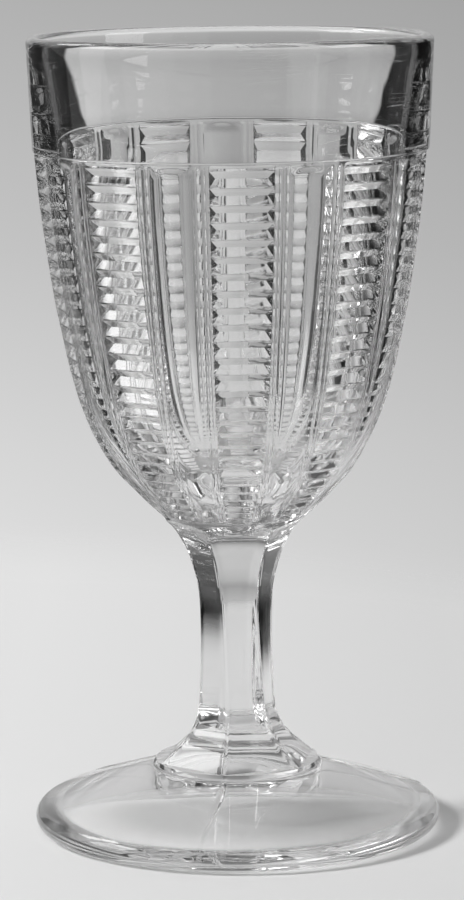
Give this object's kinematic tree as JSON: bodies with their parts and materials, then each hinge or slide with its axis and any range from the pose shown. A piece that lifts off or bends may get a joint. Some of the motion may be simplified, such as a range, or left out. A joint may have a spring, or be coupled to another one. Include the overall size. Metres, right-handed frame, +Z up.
{
  "type": "water goblet",
  "caption": "Clear pressed-glass water goblet with a plain band above ribbed panels and hollow flutes, a six-sided stem and a round foot.",
  "frame": {"origin": "centre of the resting ring under the foot", "axes": "+Z up the axis of the glass, -Y towards the front of the picture, +X to its right"},
  "size_m": [0.0798, 0.0798, 0.1555],
  "materials": {
    "clear_glass": "clear, fire polished, colourless"
  },
  "bodies": {
    "root": {"bowl": "clear_glass", "stem": "clear_glass", "foot": "clear_glass"}
  },
  "joints": []
}
